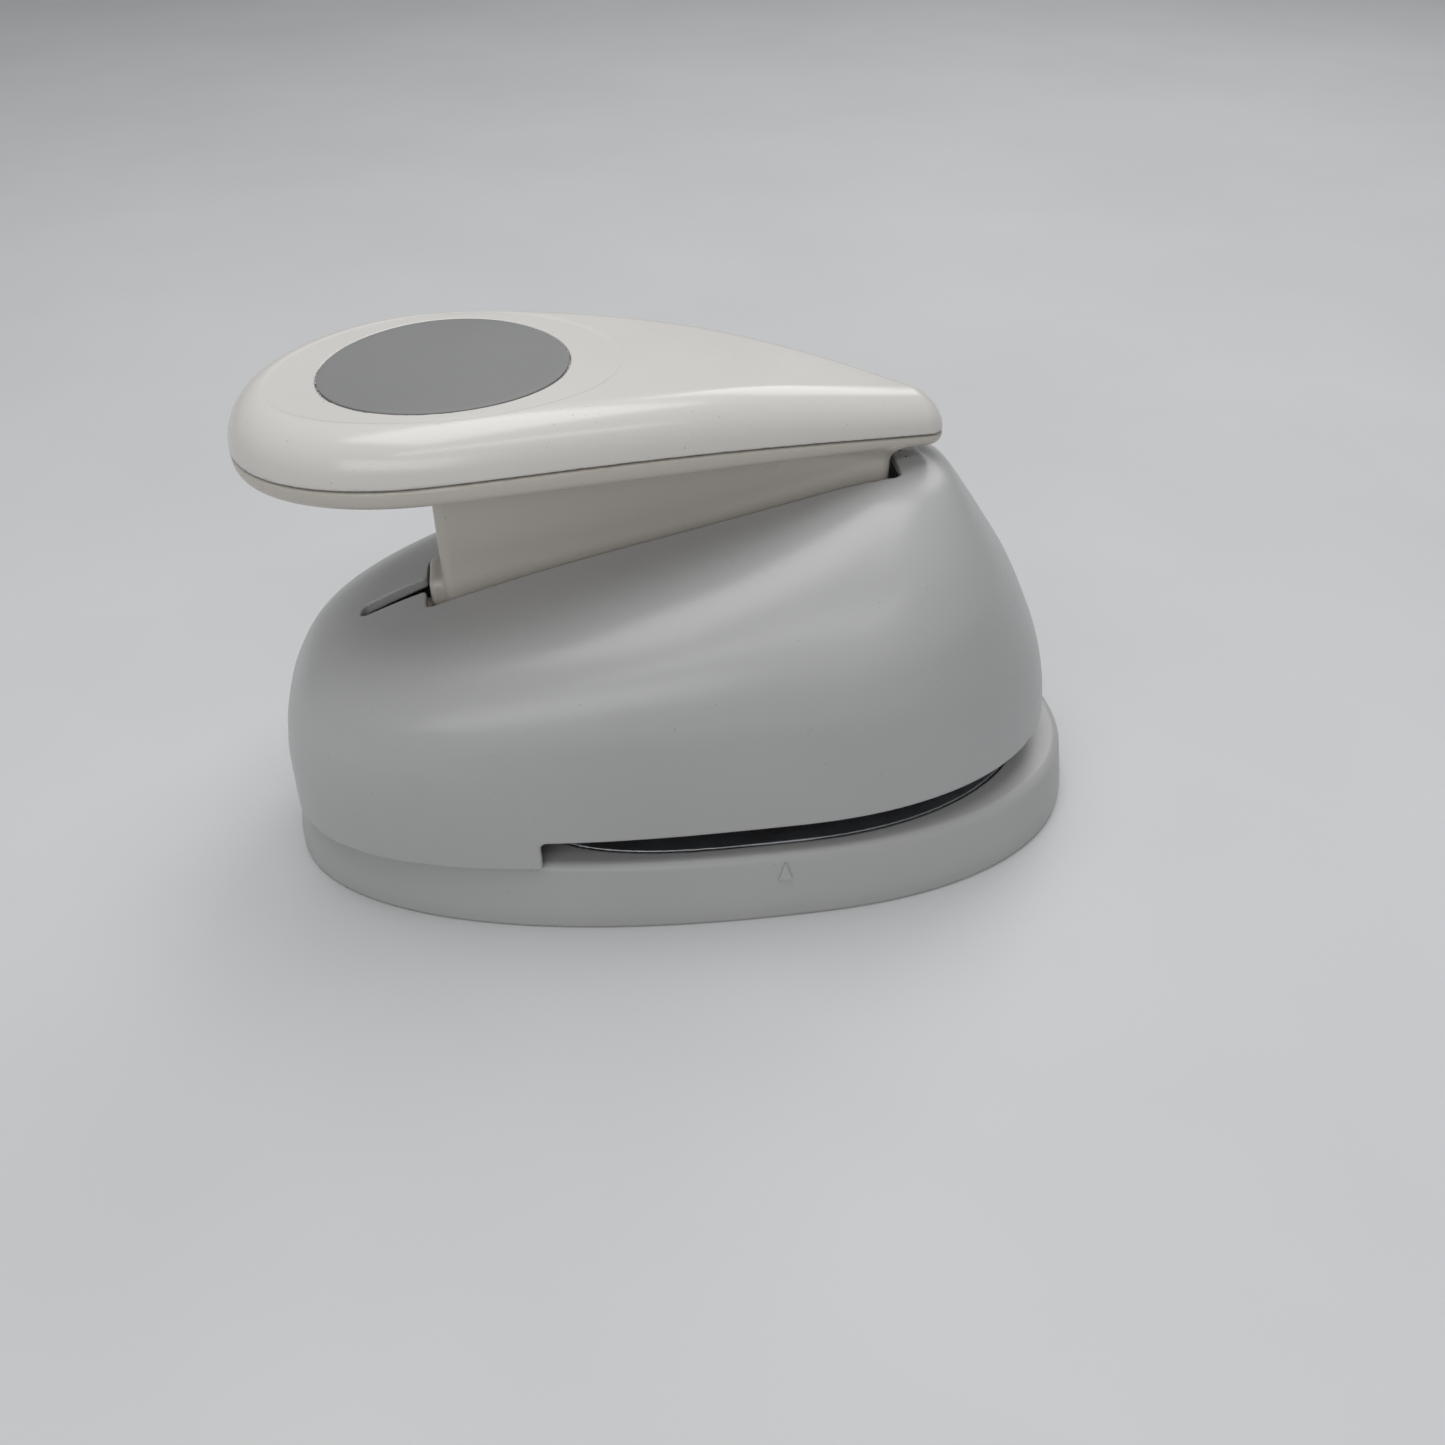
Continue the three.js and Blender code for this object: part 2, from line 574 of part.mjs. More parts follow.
// ---- Screws ---------------------------------------------------------------------------------
// A pan-head screw driven upwards, its head's bearing face at the given height.
function screw(x, y, seat, length) {
  const profile = [
    new THREE.Vector2(0, -SCREW_HEAD_HEIGHT),
    new THREE.Vector2(SCREW_HEAD * 0.7, -SCREW_HEAD_HEIGHT),
    new THREE.Vector2(SCREW_HEAD, -SCREW_HEAD_HEIGHT * 0.5),
    new THREE.Vector2(SCREW_HEAD, 0),
    new THREE.Vector2(SCREW_SHANK, 0),
    new THREE.Vector2(SCREW_SHANK, length - 1),
    new THREE.Vector2(0, length),
  ];
  const geometry = new THREE.LatheGeometry(profile, 8);
  return toSolid(geometry.rotateX(Math.PI / 2).translate(x, y, seat));
}

function addScrews(name, places, seat, length) {
  places.forEach(([x, y], i) => {
    const height = typeof seat === 'function' ? seat(x) : seat;
    addPiece(`${name}_${i + 1}`, screw(x, y, height, length), colours.steel);
  });
}

// ---- Assembly -------------------------------------------------------------------------------
addPiece('base_shell', baseShell(), colours.base);
addPiece('die_plate', diePlate(), colours.zinc);
addPiece('throat_spacer', throatSpacer(), colours.pusher);
addPiece('guide_plate', guidePlate(), colours.zinc);
addPiece('punch_cutter', punchCutter(), colours.zinc);
addPiece('pusher', pusher(), colours.pusher);
addPiece('upper_shell', upperShell(), colours.shell);
addPiece('pivot_pin', pivotPin(), colours.steel);
addPiece('pivot_retainer', pivotRetainer(), colours.pusher);
addPiece('lever_frame', leverFrame(), colours.lever);
addPiece('lever_cover', leverCover(), colours.lever);
addPiece('size_disc', sizeDisc(), colours.disc);
POSTS.forEach((place, i) => addPiece(`guide_post_${i + 1}`, guidePost(place), colours.steel));
POSTS.forEach((place, i) => addPiece(`return_spring_${i + 1}`, returnSpring(place), colours.steel));
addScrews('housing_screw', HOUSING_SCREWS, BOSS_BOTTOM - FIT_GAP, 24);
addScrews('die_screw', DIE_SCREWS, LEDGE_BOTTOM - FIT_GAP, 14.6);
addScrews('guide_screw', GUIDE_SCREWS, GUIDE_BOTTOM + HEAD_SINK - FIT_GAP, 12);
addScrews('punch_screw', PUNCH_SCREWS, CUTTER_ROOF - FIT_GAP, 8.2);
addScrews('retainer_screw', RETAINER_SCREWS, BAR_BOTTOM - FIT_GAP, 10);
addScrews('lever_screw', LEVER_SCREWS, (x) => frameFace(x) + SCREW_HEAD_HEIGHT, 5.6);

export default punch;
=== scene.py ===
"""A lever craft punch for a 63.5 mm circle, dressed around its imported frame.

Shapes are worked out in millimetres, in the frame's own axes, and turned into metres as each mesh
is made. Moulded pieces are zero sets of signed distance fields, negative inside.
"""
import math

import bpy
import numpy as np
from mathutils import Euler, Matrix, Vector


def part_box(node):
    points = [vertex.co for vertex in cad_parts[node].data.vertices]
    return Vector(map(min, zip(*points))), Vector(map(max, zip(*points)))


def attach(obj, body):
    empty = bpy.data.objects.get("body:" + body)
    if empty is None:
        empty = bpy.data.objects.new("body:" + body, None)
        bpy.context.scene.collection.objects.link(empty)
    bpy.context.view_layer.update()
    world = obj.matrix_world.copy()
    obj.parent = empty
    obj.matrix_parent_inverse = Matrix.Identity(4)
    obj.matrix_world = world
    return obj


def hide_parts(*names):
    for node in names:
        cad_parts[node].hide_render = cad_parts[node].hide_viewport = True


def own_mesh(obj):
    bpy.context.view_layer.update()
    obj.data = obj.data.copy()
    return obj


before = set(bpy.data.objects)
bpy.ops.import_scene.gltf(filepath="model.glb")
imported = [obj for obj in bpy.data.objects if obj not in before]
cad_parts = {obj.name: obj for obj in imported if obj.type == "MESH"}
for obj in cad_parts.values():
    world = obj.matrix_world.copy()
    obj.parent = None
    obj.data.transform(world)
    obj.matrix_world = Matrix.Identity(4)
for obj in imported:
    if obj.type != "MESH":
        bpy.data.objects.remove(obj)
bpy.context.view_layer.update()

MM = 0.001
COARSE = 1.0


def box_mm(node):
    """The lowest and highest corners of a CAD node, in millimetres."""
    low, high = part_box(node)
    return np.array(low) / MM, np.array(high) / MM


def centre_mm(node):
    low, high = box_mm(node)
    return (low + high) / 2


# ---- Driving dimensions, in millimetres --------------------------------------------------------
BASE_LOW, BASE_HIGH = box_mm("base_shell")
DOME_LOW, DOME_HIGH = box_mm("upper_shell")
DIE_LOW, DIE_HIGH = box_mm("die_plate")
GUIDE_LOW, GUIDE_HIGH = box_mm("guide_plate")
SPACER_LOW, SPACER_HIGH = box_mm("throat_spacer")
CUTTER_LOW, CUTTER_HIGH = box_mm("punch_cutter")
PUSHER_LOW, PUSHER_HIGH = box_mm("pusher")
COVER_LOW, COVER_HIGH = box_mm("lever_cover")
FRAME_LOW, FRAME_HIGH = box_mm("lever_frame")
RETAINER_LOW, RETAINER_HIGH = box_mm("pivot_retainer")
PIN_LOW, PIN_HIGH = box_mm("pivot_pin")
DIE_X = centre_mm("punch_cutter")[0]
PUNCH_RADIUS = (CUTTER_HIGH[0] - CUTTER_LOW[0]) / 2
PIVOT_X, _, PIVOT_Z = centre_mm("pivot_pin")
POSTS = [centre_mm(f"guide_post_{i}")[:2] for i in range(1, 5)]
GAP = 0.3
WALL = 2.5
WIDEST_X = 17
EGG_POWER = 2.28
STEP_X = -30.7
THROAT_TOP = 20.6
LEDGE_BOTTOM = 8
LEDGE_HOLE = 33.2
PLATE_POWERS = (3.4, 2.1)
DOME_POWERS = (2.8, 2.15)
RIB_HALF = 6.5
RIB_BACK = -43.4
RIB_FRONT = 36.4
LEVER_X = -42.4
LEVER_BACK = 32.1
LEVER_HALF = 27.9
NOSE_X = 40.4
NOSE_RADIUS = 6.3
COVER_HEIGHT = 8
RIM_RADIUS = 7
DISC_X = -38.6
DISC_RADIUS = 20.4
DISC_SQUASH = 0.926
HALF_SEAM = 0.15
SCREW_SHANK = 1.4
SCREW_HEAD = 2.8
SCREW_HEAD_HEIGHT = 1.5
PIN_HOLE = 2.8
POST_RADIUS = 2.5
LUG_INSIDE = 7.4
LUG_OUTSIDE = 10.9
HOUSING_BOSS = 3.8
GUIDE_BOSS = 3.6
RETAINER_BOSS = 3.2
BASE_BOSS = 4.2
CUP_WALL = 3.4
MARK_BOTTOM = 9
MARK_HEIGHT = 3.6
MARK_HALF = 1.3

# Plan sections of the upper shell: height, back end, front end, half width, widest point.
DOME_LEVELS = np.array([
    [14.1, -76.6, 72.4, 38, 15],
    [19, -76.4, 72.3, 38.3, 15],
    [28, -75.8, 71, 38.9, 16],
    [37, -73.3, 68.4, 39.3, 18],
    [45, -66.5, 65, 38.9, 20],
    [53, -49.5, 61, 36, 24],
    [60, -25, 56.5, 30.5, 28],
    [66, 2, 52.4, 23.5, 32],
    [71, 24, 48.7, 15, 36],
    [74, 36, 45.2, 6, 40],
])


# ---- Fields ------------------------------------------------------------------------------------
def round_cut(a, b, radius):
    """Where both fields are inside, with the edge between them rounded."""
    corner = np.hypot(np.maximum(a + radius, 0), np.maximum(b + radius, 0))
    return np.minimum(-radius, np.maximum(a, b)) + corner


def round_join(a, b, radius):
    """Where either field is inside, with a fillet in the corner between them."""
    corner = np.hypot(np.maximum(radius - a, 0), np.maximum(radius - b, 0))
    return np.maximum(radius, np.minimum(a, b)) - corner


def smooth_step(value, low, high):
    t = np.clip((value - low) / (high - low), 0, 1)
    return t * t * (3 - 2 * t)


def slab(value, low, high):
    return np.abs(value - (low + high) / 2) - (high - low) / 2


def brick(x, y, z, low, high, radius=0.0):
    """A rounded box between two corners."""
    sides = [slab(v, a, b) + radius for v, a, b in zip((x, y, z), low, high)]
    outside = np.sqrt(sum(np.maximum(s, 0) ** 2 for s in sides))
    return outside + np.minimum(np.maximum.reduce(sides), 0) - radius


def rod(x, y, centre, radius):
    return np.hypot(x - centre[0], y - centre[1]) - radius


def rods(x, y, centres, radius):
    return np.minimum.reduce([rod(x, y, c, radius) for c in centres])


def egg_radius(x, y, back, front, half, widest, powers):
    """1 on an egg outline, 0 at its middle, and in proportion between them."""
    ahead = x > widest
    power = np.where(ahead, powers[1], powers[0])
    reach = np.where(ahead, front - widest, widest - back)
    along = np.abs(x - widest) / reach
    across = np.abs(y) / half
    return (along ** power + across ** power + 1e-12) ** (1 / power)


def egg(x, y, back, front, half, widest=WIDEST_X, powers=(EGG_POWER, EGG_POWER)):
    """Distance to an egg outline, from its value and its slope."""
    step = 0.01
    values = [egg_radius(x + dx, y + dy, back, front, half, widest, powers)
              for dx, dy in ((0, 0), (step, 0), (0, step))]
    slope = np.hypot(values[1] - values[0], values[2] - values[0]) / step
    return (values[0] - 1) / np.maximum(slope, 1e-3)


class Outline:
    """Distance to a closed outline in a plane, kept on a grid and read with cubic weights."""

    def __init__(self, points, step=0.5, margin=12):
        points = np.asarray(points, float)
        self.step = step
        self.low = points.min(0) - margin
        count = np.ceil((points.max(0) + margin - self.low) / step).astype(int) + 1
        a, b = np.meshgrid(*[self.low[i] + step * np.arange(count[i]) for i in (0, 1)], indexing="ij")
        best = np.full(a.shape, np.inf)
        inside = np.zeros(a.shape, bool)
        for start, end in zip(points, np.roll(points, -1, axis=0)):
            edge = end - start
            t = ((a - start[0]) * edge[0] + (b - start[1]) * edge[1]) / max(edge @ edge, 1e-12)
            t = np.clip(t, 0, 1)
            gap = (a - start[0] - t * edge[0]) ** 2 + (b - start[1] - t * edge[1]) ** 2
            best = np.minimum(best, gap)
            if start[1] != end[1]:
                level = (start[1] > b) != (end[1] > b)
                inside ^= level & (a < start[0] + (b - start[1]) * edge[0] / edge[1])
        self.values = np.sqrt(best) * np.where(inside, -1, 1)

    def __call__(self, a, b):
        places = []
        weights = []
        for axis, value in enumerate((a, b)):
            place = (value - self.low[axis]) / self.step
            place = np.clip(place, 1, self.values.shape[axis] - 2.001)
            whole = np.floor(place).astype(int)
            t = place - whole
            places.append(whole)
            weights.append((
                ((2 - t) * t - 1) * t / 2, ((3 * t - 5) * t * t + 2) / 2,
                ((4 - 3 * t) * t + 1) * t / 2, (t - 1) * t * t / 2))
        total = 0
        for i in range(4):
            row = 0
            for j in range(4):
                row = row + weights[1][j] * self.values[places[0] + i - 1, places[1] + j - 1]
            total = total + weights[0][i] * row
        return total


# ---- Meshes from fields ------------------------------------------------------------------------
BLOCK = 8
CORNERS = np.array([[i, j, k] for i in (0, 1) for j in (0, 1) for k in (0, 1)])


def sample(field, low, step, shape):
    """Field values on a grid, worked out in full only in the blocks near the surface."""
    blocks = shape // BLOCK
    axes = [low[i] + step * (BLOCK * np.arange(blocks[i]) + (BLOCK - 1) / 2) for i in range(3)]
    middles = np.stack(np.meshgrid(*axes, indexing="ij"), -1).reshape(-1, 3)
    rough = field(*middles.T)
    values = np.repeat(rough[:, None], BLOCK ** 3, axis=1)
    near = np.nonzero(np.abs(rough) < 1.9 * BLOCK * step)[0]
    offsets = (np.indices((BLOCK,) * 3).reshape(3, -1).T - (BLOCK - 1) / 2) * step
    for start in range(0, len(near), 1024):
        chosen = near[start:start + 1024]
        points = (middles[chosen][:, None, :] + offsets[None]).reshape(-1, 3)
        values[chosen] = field(*points.T).reshape(len(chosen), -1)
    values = values.reshape(*blocks, BLOCK, BLOCK, BLOCK)
    return values.transpose(0, 3, 1, 4, 2, 5).reshape(*shape)


def unit(vectors):
    return vectors / np.maximum(np.linalg.norm(vectors, axis=1), 1e-6)[:, None]


def settle(field, points, rounds=1, step=0.02):
    """Moves points onto the surface and returns them with its normals nearby."""
    for _ in range(rounds):
        value = field(*points.T)
        gradient = np.stack([field(*(points + shift).T) - value for shift in np.eye(3) * step], 1) / step
        square = np.maximum((gradient ** 2).sum(1), 0.05)
        move = np.clip(value / square, -0.6, 0.6)
        points = points - gradient * move[:, None]
    return points, unit(gradient)


def surface_normals(field, points, step=0.02):
    return unit(np.stack([field(*(points + shift).T) - field(*(points - shift).T)
                          for shift in np.eye(3) * step], 1))


def skin(field, low, high, step):
    """Vertices, quads and normals of the field's zero set, one vertex to each crossed cell."""
    low = np.asarray(low, float) - 2 * step
    shape = np.ceil((np.asarray(high) + 2 * step - low) / step).astype(int) + 1
    shape = -(-shape // BLOCK) * BLOCK
    values = sample(field, low, step, shape)
    inside = values < 0
    cells = shape - 1
    count = np.zeros(cells, np.uint8)
    for corner in CORNERS:
        count += inside[tuple(slice(c, c + n) for c, n in zip(corner, cells))]
    mixed = (count > 0) & (count < 8)
    index = np.full(cells, -1)
    index[mixed] = np.arange(mixed.sum())
    places = np.argwhere(mixed)
    ends = np.stack([values[tuple((places + c).T)] for c in CORNERS], 1)
    total = np.zeros((len(places), 3))
    crossings = np.zeros(len(places))
    for a in range(8):
        for axis, bit in enumerate((4, 2, 1)):
            if a & bit:
                continue
            first, second = ends[:, a], ends[:, a | bit]
            crossed = (first < 0) != (second < 0)
            t = np.where(crossed, first / np.where(crossed, first - second, 1), 0)
            total += np.where(crossed[:, None], CORNERS[a], 0)
            total[:, axis] += t
            crossings += crossed
    points = low + step * (places + total / crossings[:, None])
    quads = []
    for axis in range(3):
        u, v = (axis + 1) % 3, (axis + 2) % 3
        window = [slice(1, n) for n in cells]
        window[axis] = slice(0, cells[axis])
        ahead = list(window)
        ahead[axis] = slice(1, cells[axis] + 1)
        lower = inside[tuple(window)]
        edges = np.argwhere(lower != inside[tuple(ahead)])
        leaving = lower[tuple(edges.T)]
        edges = edges + [0 if i == axis else 1 for i in range(3)]
        step_u, step_v = np.eye(3, dtype=int)[u], np.eye(3, dtype=int)[v]
        around = [edges, edges - step_u, edges - step_u - step_v, edges - step_v]
        quad = np.stack([index[tuple(c.T)] for c in around], 1)
        quads.append(np.where(leaving[:, None], quad, quad[:, ::-1]))
    quads = np.concatenate(quads)
    points, normals = settle(field, points, 2)
    pairs = np.concatenate([quads[:, [i, (i + 1) % 4]] for i in range(4)])
    shares = np.bincount(pairs[:, 0], minlength=len(points))
    for _ in range(2):
        mean = np.stack([np.bincount(pairs[:, 0], points[pairs[:, 1], i], len(points))
                         for i in range(3)], 1) / np.maximum(shares, 1)[:, None]
        drift = mean - points
        drift -= normals * (drift * normals).sum(1)[:, None]
        points, normals = settle(field, points + 0.5 * drift)
    return points, quads, surface_normals(field, points)


def add_mesh(name, points, faces, normals=None, smooth=True):
    """An object from points in millimetres."""
    mesh = bpy.data.meshes.new(name)
    mesh.from_pydata((np.asarray(points) * MM).tolist(), [], np.asarray(faces).tolist()
                     if isinstance(faces, np.ndarray) else faces)
    mesh.polygons.foreach_set("use_smooth", [smooth] * len(mesh.polygons))
    if normals is not None:
        mesh.normals_split_custom_set_from_vertices(normals.tolist())
    mesh.update()
    piece = bpy.data.objects.new(name, mesh)
    bpy.context.scene.collection.objects.link(piece)
    return piece


def moulded_piece(name, field, low, high, step):
    points, quads, normals = skin(field, low, high, step * COARSE)
    return add_mesh(name, points, quads, normals)


def dress(piece, body, slot, material, *nodes):
    """Puts a piece on its body, in place of CAD nodes, with its material."""
    piece.data.materials.clear()
    piece.data.materials.append(material)
    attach(piece, body)
    if nodes:
        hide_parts(*nodes)
    return piece


# ---- Camera, light and world -------------------------------------------------------------------
VIEW_TURN = math.radians(-8.7)
VIEW_HEIGHT = math.radians(37.9)
VIEW_PLACE = (-0.0251, -0.2120, 0.1826)
VIEW_LENS = 33.3

scene = bpy.context.scene
camera_data = bpy.data.cameras.new("camera")
camera_data.lens = VIEW_LENS
camera_data.sensor_width = 36
camera_data.clip_start = 0.01
camera = bpy.data.objects.new("camera", camera_data)
camera.location = VIEW_PLACE
camera.rotation_euler = Euler((math.pi / 2 - VIEW_HEIGHT, 0, VIEW_TURN))
scene.collection.objects.link(camera)
scene.camera = camera


def soft_light(name, place, size, power, aim=(0, 0, 0.04), colour=(1, 1, 1)):
    data = bpy.data.lights.new(name, "AREA")
    data.shape = "RECTANGLE"
    data.size, data.size_y = size
    data.energy = power
    data.color = colour
    light = bpy.data.objects.new(name, data)
    light.location = place
    light.rotation_euler = (Vector(aim) - Vector(place)).to_track_quat("-Z", "Y").to_euler()
    scene.collection.objects.link(light)


soft_light("overhead_light", (-0.05, 0.05, 1.0), (0.9, 0.7), 6.4)
soft_light("front_strip", (0.1, -0.62, 0.78), (0.9, 0.06), 0.9)
soft_light("front_light", (-0.4, -0.9, 0.5), (1.0, 0.35), 2.5)
soft_light("back_light", (0.5, 0.7, 0.7), (0.5, 0.5), 1.9)
world = bpy.data.worlds.new("studio")
world.use_nodes = True
world.node_tree.nodes["Background"].inputs["Color"].default_value = (0.86, 0.88, 0.9, 1)
world.node_tree.nodes["Background"].inputs["Strength"].default_value = 0.28
scene.world = world
scene.view_settings.view_transform = "Standard"


# ---- Materials ---------------------------------------------------------------------------------
class Nodes:
    """Adds and links the nodes of one material."""

    def __init__(self, name):
        self.material = bpy.data.materials.new(name)
        self.material.use_nodes = True
        self.tree = self.material.node_tree
        self.shader = self.tree.nodes["Principled BSDF"]
        self.place = self.add("ShaderNodeTexCoord").outputs["Object"]

    def add(self, kind, **settings):
        node = self.tree.nodes.new(kind)
        for key, value in settings.items():
            setattr(node, key, value)
        return node

    def link(self, source, target):
        self.tree.links.new(source, target)

    def noise(self, scale, detail=3.0, stretch=(1, 1, 1), roughness=0.55):
        mapping = self.add("ShaderNodeMapping")
        mapping.inputs["Scale"].default_value = stretch
        self.link(self.place, mapping.inputs["Vector"])
        node = self.add("ShaderNodeTexNoise")
        node.inputs["Scale"].default_value = scale
        node.inputs["Detail"].default_value = detail
        node.inputs["Roughness"].default_value = roughness
        self.link(mapping.outputs["Vector"], node.inputs["Vector"])
        return node.outputs["Fac"]

    def span(self, value, low, high, out_low, out_high, smooth=False):
        node = self.add("ShaderNodeMapRange")
        if smooth:
            node.interpolation_type = "SMOOTHSTEP"
        for key, number in (("From Min", low), ("From Max", high),
                            ("To Min", out_low), ("To Max", out_high)):
            node.inputs[key].default_value = number
        self.link(value, node.inputs["Value"])
        return node.outputs["Result"]

    def maths(self, operation, a, b):
        node = self.add("ShaderNodeMath", operation=operation)
        for socket, value in zip(node.inputs, (a, b)):
            if isinstance(value, (int, float)):
                socket.default_value = value
            else:
                self.link(value, socket)
        return node.outputs["Value"]

    def mix(self, share, first, second):
        node = self.add("ShaderNodeMix", data_type="RGBA")
        self.link(share, node.inputs["Factor"])
        for key, value in (("A", first), ("B", second)):
            socket = [s for s in node.inputs if s.name == key and s.type == "RGBA"][0]
            if isinstance(value, tuple):
                socket.default_value = (*value, 1)
            else:
                self.link(value, socket)
        return [s for s in node.outputs if s.type == "RGBA"][0]

    def bump(self, height, distance, strength=1.0, under=None):
        node = self.add("ShaderNodeBump")
        node.inputs["Strength"].default_value = strength
        node.inputs["Distance"].default_value = distance
        self.link(height, node.inputs["Height"])
        if under is not None:
            self.link(under, node.inputs["Normal"])
        return node.outputs["Normal"]


def plastic(name, colour, gloss, tint=0.03, grain=0.000003, ripple=0.00002):
    """Moulded plastic: faint flow colour, fine grain, light rubbing and specks of dust."""
    n = Nodes(name)
    dark = tuple(c * (1 - tint) for c in colour)
    light = tuple(min(1.0, c * (1 + tint)) for c in colour)
    flow = n.mix(n.span(n.noise(22, 4), 0.3, 0.7, 0, 1), dark, light)
    specks = n.span(n.noise(1300, 1), 0.76, 0.80, 0, 0.5)
    n.link(n.mix(specks, flow, tuple(c * 0.55 for c in colour)), n.shader.inputs["Base Color"])
    base = n.span(n.noise(45, 5), 0.3, 0.7, gloss - 0.02, gloss + 0.03)
    rubbed = n.span(n.noise(520, 2, (1, 1, 5)), 0.62, 0.72, 0, 0.03)
    n.link(n.maths("ADD", base, rubbed), n.shader.inputs["Roughness"])
    soft = n.bump(n.noise(140, 2), ripple, 0.4)
    n.link(n.bump(n.noise(4200, 2), grain, 0.6, soft), n.shader.inputs["Normal"])
    n.shader.inputs["IOR"].default_value = 1.5
    return n.material


def metal(name, colour, gloss, brush=(1, 1, 30), bump=0.000006):
    """Metal with a brushed finish and slight tarnish."""
    n = Nodes(name)
    n.shader.inputs["Metallic"].default_value = 1.0
    stain = n.span(n.noise(70, 5), 0.4, 0.7, 0, 1)
    n.link(n.mix(stain, colour, tuple(c * 0.82 for c in colour)), n.shader.inputs["Base Color"])
    lines = n.noise(420, 3, brush)
    n.link(n.span(lines, 0.3, 0.7, gloss - 0.06, gloss + 0.1), n.shader.inputs["Roughness"])
    n.link(n.bump(lines, bump, 0.7), n.shader.inputs["Normal"])
    return n.material


SHELL_GREY = plastic("shell_grey", (0.405, 0.405, 0.405), 0.29)
BASE_GREY = plastic("base_grey", (0.39, 0.39, 0.387), 0.34, grain=0.000008)
IVORY = plastic("lever_ivory", (0.615, 0.597, 0.568), 0.20, tint=0.03)
# The lever's own ivory, painted darker and warmer for its underside and rib: painted shade and painted warm
# bounce light under the lever, not a different plastic.
SHADED_IVORY = plastic("lever_under_painted_shade", (0.505, 0.470, 0.425), 0.28, tint=0.03)
LABEL_GREY = plastic("disc_grey", (0.212, 0.212, 0.212), 0.5, tint=0.03, grain=0.00001)
NYLON = plastic("mechanism_plastic", (0.70, 0.70, 0.67), 0.42, grain=0.00001)
STEEL = metal("steel", (0.50, 0.51, 0.53), 0.32)
ZINC = metal("zinc", (0.42, 0.43, 0.45), 0.42, brush=(1, 22, 1))


# ---- Upper shell -------------------------------------------------------------------------------
def spline_table(levels, samples=40):
    """Catmull-Rom rows between the given rows, as height and section values."""
    padded = np.vstack([levels[0], levels, levels[-1]])
    rows = []
    for i in range(len(levels) - 1):
        p0, p1, p2, p3 = padded[i:i + 4]
        for t in np.arange(samples) / samples:
            v0, v1 = (p2 - p0) / 2, (p3 - p1) / 2
            rows.append((2 * p1 - 2 * p2 + v0 + v1) * t ** 3
                        + (-3 * p1 + 3 * p2 - 2 * v0 - v1) * t ** 2 + v0 * t + p1)
    rows.append(levels[-1])
    return np.array(rows)


DOME_TABLE = spline_table(DOME_LEVELS)


def dome_radius(x, y, z):
    back, front, half, widest = [np.interp(z, DOME_TABLE[:, 0], DOME_TABLE[:, i]) for i in range(1, 5)]
    return egg_radius(x, y, back, front, half, widest, DOME_POWERS)


def dome_field(x, y, z):
    """Distance to the closed outer form of the upper shell."""
    step = 0.05
    value = dome_radius(x, y, z)
    across = np.hypot(dome_radius(x + step, y, z) - value, dome_radius(x, y + step, z) - value)
    along = (dome_radius(x, y, z + step) - dome_radius(x, y, z - step)) / 2
    side = (value - 1) * step / np.maximum(np.hypot(across, along), 1e-5)
    return round_cut(side, z - DOME_LEVELS[-1, 0], 3)


def slot_field(x, y):
    """The wide notch for the lever's rib, and the narrow slot behind it."""
    notch = round_cut(slab(x, RIB_BACK - 3.4, 38), slab(y, -8, 8), 1.6)
    along = np.clip((x + 57.4) / 12, 0, 1)
    narrow = np.hypot(x + 57.4 - 12 * along, y) - 1.9 - 0.55 * along
    return round_join(notch, narrow, 0.7)


HOUSING_BOSSES = [centre_mm(f"housing_screw_{i}")[:2] for i in range(1, 5)]
GUIDE_BOSSES = [centre_mm(f"guide_screw_{i}")[:2] for i in (1, 2)]
RETAINER_BOSSES = [centre_mm(f"retainer_screw_{i}")[:2] for i in (1, 2)]


def shell_field(x, y, z):
    closed = dome_field(x, y, z)
    wall = np.abs(closed + WALL / 2) - WALL / 2
    hole = SCREW_SHANK + GAP
    inner = np.maximum(rods(x, y, HOUSING_BOSSES, HOUSING_BOSS), -np.maximum(
        rods(x, y, HOUSING_BOSSES, hole), z - 30))
    front = np.maximum(rods(x, y, GUIDE_BOSSES, GUIDE_BOSS), GUIDE_HIGH[2] + GAP - z)
    inner = np.minimum(inner, np.maximum(front, -np.maximum(rods(x, y, GUIDE_BOSSES, hole), z - 34)))
    bar_top = RETAINER_LOW[2] + 3
    holders = np.maximum(rods(x, y, RETAINER_BOSSES, RETAINER_BOSS), bar_top + GAP - z)
    holders = np.maximum(holders, -np.maximum(rods(x, y, RETAINER_BOSSES, hole), z - 60))
    lug = np.maximum(slab(np.abs(y), LUG_INSIDE, LUG_OUTSIDE), slab(x, PIVOT_X - 7, PIVOT_X + 7))
    lug = np.maximum(lug, bar_top + 0.5 - z)
    seat = np.hypot(x - PIVOT_X, z - PIVOT_Z) - PIN_HOLE
    way_in = np.maximum(np.abs(x - PIVOT_X) - PIN_HOLE, z - PIVOT_Z)
    lug = np.maximum(lug, -np.minimum(seat, way_in))
    inner = np.minimum(np.minimum(inner, holders), lug)
    body = round_join(wall, np.maximum(inner, closed + WALL / 2), 0.8)
    mouth = round_cut(STEP_X - x, z - THROAT_TOP, 1.2)
    body = round_cut(body, -mouth, 0.55)
    body = round_cut(body, DOME_LOW[2] - z, 0.4)
    slot = np.where(z > 38, slot_field(x, y), 5)
    return round_cut(body, -slot, 0.45)


# ---- Base --------------------------------------------------------------------------------------
def base_outside(x, y, z):
    low, high = BASE_LOW, BASE_HIGH
    draft = 0.1 + 0.5 * (np.sqrt((z - 3) ** 2 + 1) + z - 3) * 0.172
    side = egg(x, y, low[0], high[0], high[1]) + draft
    return round_cut(round_cut(side, z - high[2], 1.7), low[2] - z, 0.6)


def plate_outline(x, y, low, high, grow=0.0):
    return egg(x, y, low[0], high[0], high[1], WIDEST_X, PLATE_POWERS) - grow


